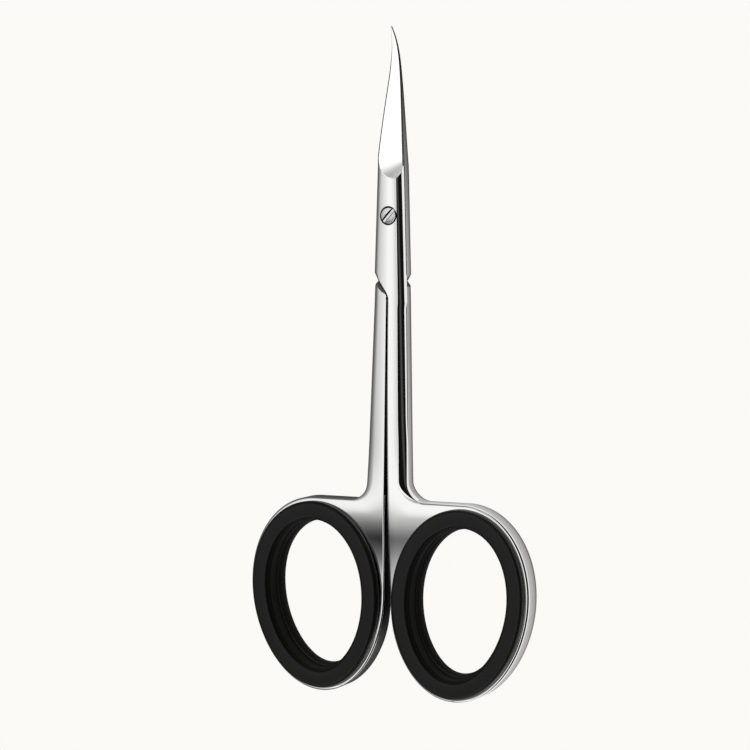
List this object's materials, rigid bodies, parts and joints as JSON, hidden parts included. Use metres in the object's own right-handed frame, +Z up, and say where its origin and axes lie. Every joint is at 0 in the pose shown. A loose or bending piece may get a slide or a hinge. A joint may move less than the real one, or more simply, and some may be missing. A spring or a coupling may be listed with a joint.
{
  "type": "cuticle scissors",
  "caption": "Slim cuticle scissors with fine curved blades, a lapped screw joint, long shanks and oval bows lined with soft finger inserts.",
  "frame": {"origin": "centre of the closed scissors' outline, on the surface they rest on", "axes": "+X across the bows towards the front half's bow, +Y along the scissors towards the tips, +Z up through the joint towards the screw head"},
  "size_m": [0.047, 0.103, 0.0059],
  "materials": {
    "polished_steel": "mirror-polished stainless steel",
    "screw_steel": "satin stainless steel",
    "insert_rubber": "satin black moulded silicone rubber"
  },
  "bodies": {
    "rear_scissor": {"rear_half": "polished_steel", "pivot_screw": "screw_steel", "left_finger_insert": "insert_rubber"},
    "front_scissor": {"front_half": "polished_steel", "right_finger_insert": "insert_rubber"}
  },
  "joints": [
    {"name": "pivot", "type": "hinge", "parent": "rear_scissor", "child": "front_scissor", "pos_m": [0, 0.0227, 0.00295], "axis": [0, 0, 1], "range_deg": [0, 55]}
  ]
}
